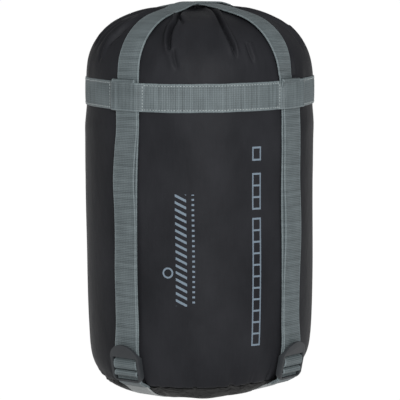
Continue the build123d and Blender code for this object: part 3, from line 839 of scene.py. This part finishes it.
def build_crown():
    """The crown from under the girth band to the drawcord channel."""
    line = through(CROWN_LINE, 0.9)
    points, normals = revolved(line, FINE_ANGLES)
    radius, height = line[:, :1], line[:, 1:]
    shoulder = smooth(height, 270, 284)
    lift = gathers(FINE_ANGLES, line[:, 0])
    lift = lift + 0.5 * shoulder * smooth(radius, 30, 70) * cloth_folds(line[:, 1], FINE_ANGLES, 5)
    tucks = ripple(FINE_ANGLES, (17, 24, 33), 15) * ripple(FINE_ANGLES, (4, 6, 9), 16)
    lift = lift + 0.5 * tucks * gauss(height - 284, 10) * (radius > 90)
    points = points + normals * lift[:, :, None]
    folds = np.zeros(points.shape[:2])
    for path, depth, width, side in CROWN_CREASES:
        folds = folds + crease(points, normals, [on_crown(a, r) for a, r in path], depth, width, side)
    folds = folds - dent(FINE_ANGLES, height)
    points = points + normals * folds[:, :, None]
    for name, angle in STRAPS.items():
        points = pressed(points, normals, name, angle)
    return cloth_object("crown_panel", points, FINE_ANGLES, lengths(line) + CROWN_LINE[0][1])


CROSSING_RISE = 1.2             # how much further up the cloth lies where two foot straps cross below it
CROSSING_EDGE = (13, 24)        # radii where that begins to fade and where it has gone
FLOOR_CLEAR = 0.15              # of the cloth above the floor
BASE_UV_START = 16.0            # of the UV coordinate along the base, at its seam


def build_base():
    """The round base panel, bellied down to the floor between the straps, with puckers at its seam."""
    line = through(BASE_LINE, 1.0)
    points, normals = revolved(line)
    normals = -normals
    radius, seam = line[:, :1], lengths(line)[:, None]
    puckers = ripple(ANGLES, (29, 36, 43, 53), 31) * ripple(ANGLES, (5, 7, 12), 32)
    lift = beside_seam(seam, 1.3 * puckers, 4.0, 1.6, (0.5, 4.5, 2.6))
    drift = ripple(ANGLES, (4, 7, 10, 15), 34)
    creases = np.cos(2 * pi * seam / 3.6 + 2.2 * drift) * (0.6 + 0.4 * ripple(ANGLES, (9, 14, 20), 35))
    lift = lift + 0.38 * creases * smooth(seam, 2, 5) * (1 - smooth(seam, 12, 24))
    lift = lift + 0.5 * ripple(ANGLES, (6, 9, 13), 33) * smooth(seam, 2, 14) * (1 - smooth(seam, 30, 50))
    points = points + normals * lift[:, :, None]
    points[:, :, 2] += tuck(radius, ANGLES)
    path = np.array(BASE_PATH[::-1])
    for angle in sorted(STRAPS.values()):
        away = np.radians(apart(ANGLES, angle))
        side, along = np.abs(radius * np.sin(away)), np.abs(radius * np.cos(away))
        strap = np.interp(along, path[:, 0], path[:, 1]) + STRAP_CLEAR
        strap = strap + CROSSING_RISE * (1 - smooth(along, *CROSSING_EDGE))
        strap = strap + strap_tuck(along, apart(ANGLES, CORNERS["front_right"]))
        over = 1 - smooth(side, *FOOT_STRAP_EDGE)
        points[:, :, 2] += over * np.clip(strap - points[:, :, 2], 0, None)
    points[:, :, 2] = np.maximum(points[:, :, 2], FLOOR_CLEAR)
    return cloth_object("base_cloth", points, ANGLES, BASE_UV_START - lengths(line))


MOUTH_HEIGHT = 339.6            # of the drawcord, its channel and its knot
CHANNEL_RADIUS = 14.0
CHANNEL_THICK = 2.95            # radius of the tube of cloth
CHANNEL_SIDES = 30
CHANNEL_UV_START = 30           # away from the painted shade of the seam and the print


def build_channel():
    """The gathered tube of cloth round the mouth that holds the drawcord."""
    turns = np.radians(np.arange(CHANNEL_SIDES) * 360 / CHANNEL_SIDES)[:, None]
    angles = np.arange(360.0)
    fold = ripple(angles, (21, 26, 30), 41)
    lean = ripple(angles, (2, 3), 42)
    size = CHANNEL_THICK + 0.36 * fold * (0.7 + 0.3 * np.cos(turns))
    radius = CHANNEL_RADIUS + size * np.cos(turns)
    height = MOUTH_HEIGHT + 0.25 * lean + size * np.sin(turns)
    around = np.radians(angles)
    points = np.stack([radius * np.cos(around), radius * np.sin(around), height], axis=2)
    uv = (np.append(angles, 360) * 0.25, CHANNEL_UV_START + np.arange(CHANNEL_SIDES + 1) * 0.6)
    return grid_object("drawcord_channel", points, uv, wrap_rows=True, wrap_columns=True)


wall = finish_piece(build_wall(), None, NYLON, ["sack_wall_lower", "sack_wall_upper"])
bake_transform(wall)
crown = finish_piece(build_crown(), "top", NYLON, ["crown"])
# The base takes the nylon painted lighter, as painted light from below.
base = finish_piece(build_base(), "base", BASE_NYLON_LIT, ["base_panel"])
finish_piece(build_channel(), "top", NYLON, ["mouth_hem"])


def strap_piece(name, line, angle, body, nodes, shift=0.0, made=WEBBING, **settings):
    """A strap along a side view line, turned to an angle; shift moves its points sideways."""
    line = np.asarray(line, float)
    points = np.stack([line[:, 0], np.broadcast_to(shift, len(line)), line[:, 1]], axis=1)
    across = turned(np.array([[0.0, 1.0, 0.0]]), angle)[0]
    return finish_piece(webbing(name, turned(points, angle), across, **settings), body, made, nodes)


SIDE_BOW = 0.62                 # how far the edges of a side strap lie further in than its middle

# How far each strap end wanders sideways, in millimetres at heights: first the loaded strap, then the tail.
WANDER_HEIGHTS = [40, 60, 90, 116, 142, 168, 194, 220, 237, 254, 281]
LOAD_WANDER = {
    "front_left": [0.3, 2.0, 1.0, 0.3, 0.2, 0.3, 0.6, 1.6, 2.5, 2.6, 2.4],
    "front_right": [-0.5, -1.9, -1.8, -1.9, -2.2, -3.1, -3.1, -2.6, -3.0, -3.2, -7.5],
    "back_left": [0, 0.3, 0.6, 0.9, 1.2, 1.6, 1.4, 1.1, 0.7, 0.2, 0],
    "back_right": [0, -0.3, -0.5, -0.2, 0.3, 0.7, 0.9, 0.9, 0.6, 0.2, 0],
}
TAIL_WANDER = {
    "front_left": [0.2, 1.3, 0.7, 0.0, 0.3, -0.3, -1.6, 0.2, 2.0, 2.0, -0.3],
    "front_right": [0.2, -1.6, -1.7, -0.7, 0.7, 0.2, -1.3, -1.1, -1.3, -2.4, -5.0],
    "back_left": [0.4, 0.8, 1.1, 1.1, 1.0, 1.0, 0.9, 0.8, 0.6, 0.3, -0.1],
    "back_right": [-0.3, -0.8, -0.9, -0.8, -0.6, -0.4, -0.2, 0.0, 0.3, 0.3, 0.2],
}


def wander(table, corner, heights):
    """Sideways shift at each height, eased between the listed heights."""
    line = through(np.stack([WANDER_HEIGHTS, table[corner]], axis=1), 1.0)
    return np.interp(heights, line[:, 0], line[:, 1])


def side_line(out, radius, top):
    """The side view of a strap from the buckle up to a height."""
    points = [lock_point(20.6, out), lock_point(25.5, out), lock_point(30.0, out),
              (radius + 0.2, 56.0), (radius + 0.15, 63.0)]
    upright = [(radius, height) for height in (SPLIT_HEIGHT, 90.0, 120.0, 160.0, 200.0, 230.0, top)]
    return through(points + upright, RIB_STEP)


def side_strap(kind, corner, line, table, replaced):
    """A strap up the side in two pieces cut at SPLIT_HEIGHT; the upper one stands in for the CAD strand."""
    shift = wander(table, corner, line[:, 1])
    cut = int(np.searchsorted(line[:, 1], SPLIT_HEIGHT))
    start = lengths(line)[cut]
    rise = smooth(line[:, 1], 42, 75)
    bow = SIDE_BOW * rise[:, None]
    width = WEBBING_WIDTH + (STRAP_WIDTH - WEBBING_WIDTH) * rise
    pieces = []
    for name, part, begins, nodes in ((f"{kind}_low_{corner}", slice(0, cut + 1), 0.0, []),
                                      (f"{kind}_{corner}", slice(cut, None), start, [replaced])):
        pieces.append(strap_piece(name, line[part], CORNERS[corner], None, nodes, shift[part], bow=bow[part],
                                  width=width[part], start=begins))
    return pieces


def place(corner, radius, height):
    """A point in the corner's strap plane, in metres."""
    point = turned(np.array([[radius, 0.0, height]]), CORNERS[corner])[0] * MM
    return tuple(float(x) for x in point)


LOAD_LINE = side_line(0.85, LOAD_RADIUS, 256.0)
TAIL_LINE = side_line(2.35, TAIL_RADIUS, 275.0)
for corner in CORNERS:
    low, high = side_strap("load_strap", corner, LOAD_LINE, LOAD_WANDER, f"load_strand_{corner}")
    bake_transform(low)
    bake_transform(high)
    low, high = side_strap("tail_strap", corner, TAIL_LINE, TAIL_WANDER, f"tail_strand_{corner}")
    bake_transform(low)
    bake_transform(high)

# The tail's end is folded over and sewn, and shows just above the band.
HEM_PATH = [(0.0, 274.5), (0.0, 276.5), (0.0, 278.6), (0.15, 279.9), (0.75, 280.7), (1.35, 279.9),
            (1.5, 278.6), (1.5, 278.1)]
HEM_LINE = through([(TAIL_RADIUS + out, height) for out, height in HEM_PATH], RIB_STEP)
for corner, angle in CORNERS.items():
    strap_piece(f"tail_hem_fold_{corner}", HEM_LINE, angle, f"tail_{corner}", [f"tail_hem_{corner}"],
                TAIL_WANDER[corner][-1], rib=0.1)

# ---------------- straps over the top
for name, angle in STRAPS.items():
    line = over_line(CROSSING[name])
    on_side = smooth(line[:, 1], 262, 300)
    curved = 1 - smooth(line[:, 1], 338.5, 342.5)
    sunk = line - facing_out(line) * over_sink(name, line)[:, None]
    bow = ((SIDE_BOW + 0.25 * on_side) * curved)[:, None]
    strap_piece(f"top_strap_{name}", sunk, angle, "top", [f"compression_strap_{name}"], over_shift(name, line),
                bow=bow, tilt=over_lean(name, line), width=STRAP_WIDTH)

# ---------------- straps under the base
FLAT_HEIGHT = 0.75
HUMP_HEIGHT = 2.2
CROSSED = {"a": [(24.0, 1.0), (18.0, 1.95), (13.0, HUMP_HEIGHT), (0.0, HUMP_HEIGHT)],
           "b": [(15.0, FLAT_HEIGHT), (0.0, FLAT_HEIGHT)]}


def under_line(name):
    """The side view of a strap under the base, from one buckle to the opposite one."""
    half = BASE_PATH + CROSSED[name]
    drawn_up = [(r, z + float(strap_tuck(r, 0.0))) for r, z in half]
    front = drawn_up if name == "a" else half
    return through([(-r, z) for r, z in front] + half[:-1][::-1], RIB_STEP)


# The foot straps take the webbing painted lighter, as painted light from below.
for name, angle in STRAPS.items():
    strap_piece(f"foot_strap_{name}", under_line(name), angle, "base", [f"base_strap_{name}"],
                made=WEBBING_LIT_BELOW, rib=0.05, thick=1.25)

# ---------------- webbing in the buckles
# Along and out from the buckle's foot.
ANCHOR_FOLD = [(-1.3, 1.9), (0.5, 2.05), (2.4, 2.1), (4.2, 2.3), (5.25, 3.2), (5.75, 4.6), (6.5, 5.75),
               (7.7, 6.15), (9.2, 5.55), (9.85, 4.0), (9.2, 2.45), (8.0, 1.7), (6.0, 1.1), (3.0, 0.75),
               (0.8, 0.65), (-1.0, 0.62)]
TURN_PATH = [(20.8, 0.85), (17.5, 0.85), (14.2, 0.85), (12.45, 1.55), (11.65, 3.4), (12.45, 5.2), (14.2, 5.95),
             (15.7, 6.05), (17.1, 5.95), (18.9, 5.2), (19.65, 3.7), (20.1, 2.8), (20.8, 2.38)]
ANCHOR_LINE = through([from_pivot(BASE_STOP - 0.3), from_pivot(-4.5, -0.15)]
                      + [lock_point(*point) for point in ANCHOR_FOLD]
                      + [from_pivot(-4.5, 1.05), from_pivot(-9.0, 1.4), from_pivot(-13.0, 1.4)], RIB_STEP)
TURN_LINE = through([lock_point(*point) for point in TURN_PATH], RIB_STEP)
# Between these two points the anchor webbing starts to follow the buckle.
for corner, angle in CORNERS.items():
    anchor = strap_piece(f"anchor_web_{corner}", ANCHOR_LINE, angle, None, [f"anchor_loop_{corner}"], rib=0.07)
    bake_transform(anchor)
    tail_shift = TAIL_WANDER[corner][0] * smooth(np.arange(len(TURN_LINE)), 0, len(TURN_LINE) - 1)
    strap_piece(f"bar_turn_{corner}", TURN_LINE, angle, f"lock_{corner}", [f"strap_turn_{corner}"], tail_shift,
                rib=0.09)


WELD_DISTANCE = 2e-6            # metres
FLAT_ANGLE = 0.6                # degrees: faces that meet flatter than this become one
ROUNDED_ANGLE = 32              # degrees: edges sharper than this are rounded
SHARP_ANGLE = 50                # degrees: edges sharper than this are shaded as edges
ROUNDING_STEPS = 3


def moulded(name, node, body, made, width):
    """A CAD piece with its edges rounded as a moulding's are."""
    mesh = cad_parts[node].data.copy()
    thing = new_object(name, mesh)
    shape = bmesh.new()
    shape.from_mesh(mesh)
    bmesh.ops.remove_doubles(shape, verts=shape.verts, dist=WELD_DISTANCE)
    bmesh.ops.dissolve_limit(shape, angle_limit=radians(FLAT_ANGLE), verts=shape.verts, edges=shape.edges)
    shape.to_mesh(mesh)
    shape.free()
    bevel = thing.modifiers.new("edges", "BEVEL")
    bevel.width = width * MM
    bevel.segments = ROUNDING_STEPS
    bevel.limit_method = "ANGLE"
    bevel.angle_limit = radians(ROUNDED_ANGLE)
    bevel.use_clamp_overlap = True
    bpy.context.view_layer.update()
    done = bpy.data.meshes.new_from_object(thing.evaluated_get(bpy.context.evaluated_depsgraph_get()))
    thing.modifiers.clear()
    thing.data = done
    thing.data.polygons.foreach_set("use_smooth", [True] * len(done.polygons))
    done.set_sharp_from_angle(angle=radians(SHARP_ANGLE))
    finish_piece(thing, body, made, [node])


for corner in CORNERS:
    moulded(f"buckle_{corner}", f"ladder_lock_{corner}", f"lock_{corner}", BUCKLE, 0.4)
moulded("cord_lock_body", "cord_lock_barrel", "top", LOCK_PLASTIC, 0.3)
moulded("cord_lock_push", "cord_lock_plunger", "cord_lock_button", LOCK_PLASTIC, 0.2)

# ---------------- girth band
BAND_RADIUS = 101.75
BRIDGE_RADIUS = 104.95
BRIDGE_HALF = 13.4
RAMP_HALF = 19.5
RAMP_RADIUS = (BAND_RADIUS**2 - RAMP_HALF**2) ** 0.5    # how far out the foot of the ramp lies
BRIDGE_SIDES = [-RAMP_HALF, -RAMP_HALF + 1.6, -BRIDGE_HALF - 1.0, -BRIDGE_HALF + 1.2, -6.0, 0.0, 6.0,
                BRIDGE_HALF - 1.2, BRIDGE_HALF + 1.0, RAMP_HALF - 1.6, RAMP_HALF]
BRIDGE_SHIFT = 0.5              # of the tail's own shift, taken halfway up, is how far its bridge is shifted
HALFWAY = 5                     # the place of that shift in the tail's list
JOIN_SEARCH = 2000              # points at each end of the fine line, in which its join is looked for


def band_outline():
    """The band's closed centre line seen from above, bridging over each strap."""
    points = []
    ramp = degrees(asin(RAMP_HALF / BAND_RADIUS))
    for corner, angle in CORNERS.items():
        shift = BRIDGE_SHIFT * TAIL_WANDER[corner][HALFWAY]
        c, s = cos(radians(angle)), sin(radians(angle))
        for side in BRIDGE_SIDES:
            out = np.interp(abs(side), [BRIDGE_HALF, RAMP_HALF], [BRIDGE_RADIUS, RAMP_RADIUS])
            points.append((out * c - (side + shift) * s, out * s + (side + shift) * c))
        for part in np.radians(angle + np.linspace(ramp + 2.0, 90 - ramp - 2.0, 17)):
            points.append((BAND_RADIUS * cos(part), BAND_RADIUS * sin(part)))
    return points


outline = band_outline()
loop = through(outline[-2:] + outline + outline[:3], 0.05)
first = int(np.argmin(np.linalg.norm(loop[:JOIN_SEARCH] - outline[0], axis=1)))
last = int(np.argmin(np.linalg.norm(loop[-JOIN_SEARCH:] - outline[0], axis=1))) - JOIN_SEARCH
loop = loop[first:last]
band_length = lengths(loop)[-1]
band_ribs = round(band_length / RIB_PITCH)
loop = evenly(loop, band_length / (4 * band_ribs))[:-1]
turns = np.degrees(np.arctan2(loop[:, 1], loop[:, 0]))
band_height = BAND_MIDDLE + 0.35 * ripple(turns, (2, 3, 5), 51) + 0.12 * ripple(turns, (13, 19, 27), 52)
band_height = band_height + band_rise(turns)
loop = loop * (1 - dent(turns, BAND_MIDDLE) / BAND_RADIUS)[:, None]
band_line = np.column_stack([loop, band_height])
band = webbing("girth_webbing", band_line, (0, 0, -1), rib=0.11, bow=0.25, width=24.6, closed=True)
finish_piece(band, "top", WEBBING, ["girth_band"])

THREAD_PITCH = 2.7
THREAD_LENGTH = 1.9
THREAD_THICK = 0.55
EDGE_ROW = 10.3                 # of a stitch row from the middle of the webbing
CROSS_ROWS = 17.6               # of the upright stitch rows from the middle of a strap
EDGE_OUT = 0.55                 # of a stitch from the middle of the webbing, outwards
CROSS_OUT = 0.75


def band_stitches():
    """Rows along both edges between the straps, and upright rows beside every strap."""
    places, directions, outwards = [], [], []
    tangent = unit(np.roll(band_line, -1, axis=0) - np.roll(band_line, 1, axis=0))
    outward = unit(np.cross([0, 0, -1.0], tangent))

    def sew(k, out, height, direction):
        places.append(band_line[k] + outward[k] * out + np.array([0, 0, height]))
        directions.append(direction)
        outwards.append(outward[k])

    along = lengths(band_line)
    away = np.min([np.abs(apart(turns, corner)) for corner in CORNERS.values()], axis=0)
    for k in np.searchsorted(along, np.arange(0, along[-1], THREAD_PITCH)):
        if away[k] * pi / 180 * BAND_RADIUS < CROSS_ROWS + 0.5:
            continue
        for edge in (-EDGE_ROW, EDGE_ROW):
            sew(k, EDGE_OUT, edge, tangent[k])
    for angle in CORNERS.values():
        for side in (-CROSS_ROWS, CROSS_ROWS):
            target = angle + degrees(asin(side / BAND_RADIUS))
            k = int(np.argmin(np.abs(apart(turns, target))))
            for height in np.arange(-EDGE_ROW, EDGE_ROW + 0.1, THREAD_PITCH):
                sew(k, CROSS_OUT, height, np.array([0, 0, 1.0]))
    return stitches("band_stitching", places, directions, outwards, THREAD_LENGTH, THREAD_THICK)


finish_piece(band_stitches(), "top", THREAD)

# ---------------- cord ends
KNOT_MIDDLE = (0.0, 46.0, MOUTH_HEIGHT)
KNOT_STRAND = 1.15              # radius of the cord in the knot
TUBE_SIDES = 12


def closed_tube(name, line, radius):
    """A round tube along a closed line."""
    tangent = unit(np.roll(line, -1, axis=0) - np.roll(line, 1, axis=0))
    side = unit(np.cross(tangent, [0.0, 0.0, 1.0]))
    up = np.cross(side, tangent)
    a = np.arange(TUBE_SIDES)[None, :, None] * 2 * pi / TUBE_SIDES
    ring = np.cos(a) * side[:, None] + np.sin(a) * up[:, None]
    return grid_object(name, line[:, None] + ring * radius, wrap_rows=True, wrap_columns=True)


t = np.linspace(0, 2 * pi, 121)[:-1]
trefoil = np.column_stack([np.sin(t) + 2 * np.sin(2 * t), np.cos(t) - 2 * np.cos(2 * t), -1.1 * np.sin(3 * t)])
knot = closed_tube("cord_knot_tied", trefoil * [0.85, 0.62, 1.0] + KNOT_MIDDLE, KNOT_STRAND)
finish_piece(knot, "top", CORD, ["cord_knot"])

# The cord lock's spring, which shortens towards the closed end of its bore as the button is pressed, is
#  the CAD coil copied and given spring steel.
coil = new_object("cord_lock_coil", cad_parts["cord_lock_spring"].data.copy())
finish_piece(coil, "top", STEEL, ["cord_lock_spring"])
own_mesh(coil)

for node, made in (("drawcord", CORD), ("mouth_grommet", LOCK_PLASTIC), ("base_binding", NYLON)):
    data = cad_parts[node].data
    if len(data.materials) == 0:
        data.materials.append(made)
    for index in range(len(data.materials)):
        data.materials[index] = made

# ---------------- floor, light and camera
FLOOR = 80.0                    # metres, far enough to fill the camera's view
floor_mesh = bpy.data.meshes.new("floor")
floor_mesh.from_pydata([(-FLOOR, -FLOOR, 0), (FLOOR, -FLOOR, 0), (FLOOR, FLOOR, 0), (-FLOOR, FLOOR, 0)], [],
                       [(0, 1, 2, 3)])
floor = new_object("floor", floor_mesh)
pale = Material("pale_floor", 0.9, (0.02, 0.02, 0.02), **{
    "Specular IOR Level": 0.0, "Emission Color": (1, 1, 1, 1), "Emission Strength": 1.0})
floor.data.materials.append(pale.made)

world = bpy.data.worlds.new("studio")
world.use_nodes = True
sky = world.node_tree.nodes["Background"].inputs
sky["Color"].default_value = (1, 1, 1, 1)
sky["Strength"].default_value = 0.41
bpy.context.scene.world = world


def softbox(name, place_at, look_at, size, power):
    """A square area light that faces a point; size in metres, power in watts."""
    light = bpy.data.lights.new(name, "AREA")
    light.shape = "SQUARE"
    light.size = size
    light.energy = power
    thing = new_object(name, light)
    thing.location = place_at
    direction = Vector(look_at) - Vector(place_at)
    thing.rotation_euler = direction.to_track_quat("-Z", "Y").to_euler()


softbox("key", (-0.15, -2.1, 0.78), (0, 0, 0.2), 0.9, 40)
softbox("fill", (0.45, -2.0, 0.6), (0, 0, 0.2), 0.9, 14)
softbox("top", (-0.5, -0.9, 2.1), (0, 0, 0.3), 1.0, 7)
softbox("back", (0.27, 2.2, 0.27), (0, 0, 0.15), 0.46, 36)

CAMERA_AZIMUTH = radians(-7.0)
CAMERA_DISTANCE = 2.0
CAMERA_HEIGHT = 0.370
CAMERA_DOWN = 0.1000            # radians below level
CAMERA_YAW = 0.00044464         # radians: the sack's axis stands a little left of the middle
camera_data = bpy.data.cameras.new("camera")
camera_data.lens = 202.4
camera_data.sensor_width = 36.0
camera = new_object("camera", camera_data)
camera.location = (CAMERA_DISTANCE * sin(CAMERA_AZIMUTH), -CAMERA_DISTANCE * cos(CAMERA_AZIMUTH),
                   CAMERA_HEIGHT)
camera.rotation_euler = (pi / 2 - CAMERA_DOWN, 0, CAMERA_AZIMUTH - CAMERA_YAW)
bpy.context.scene.camera = camera
bpy.context.scene.view_settings.view_transform = "Standard"

bpy.context.view_layer.update()
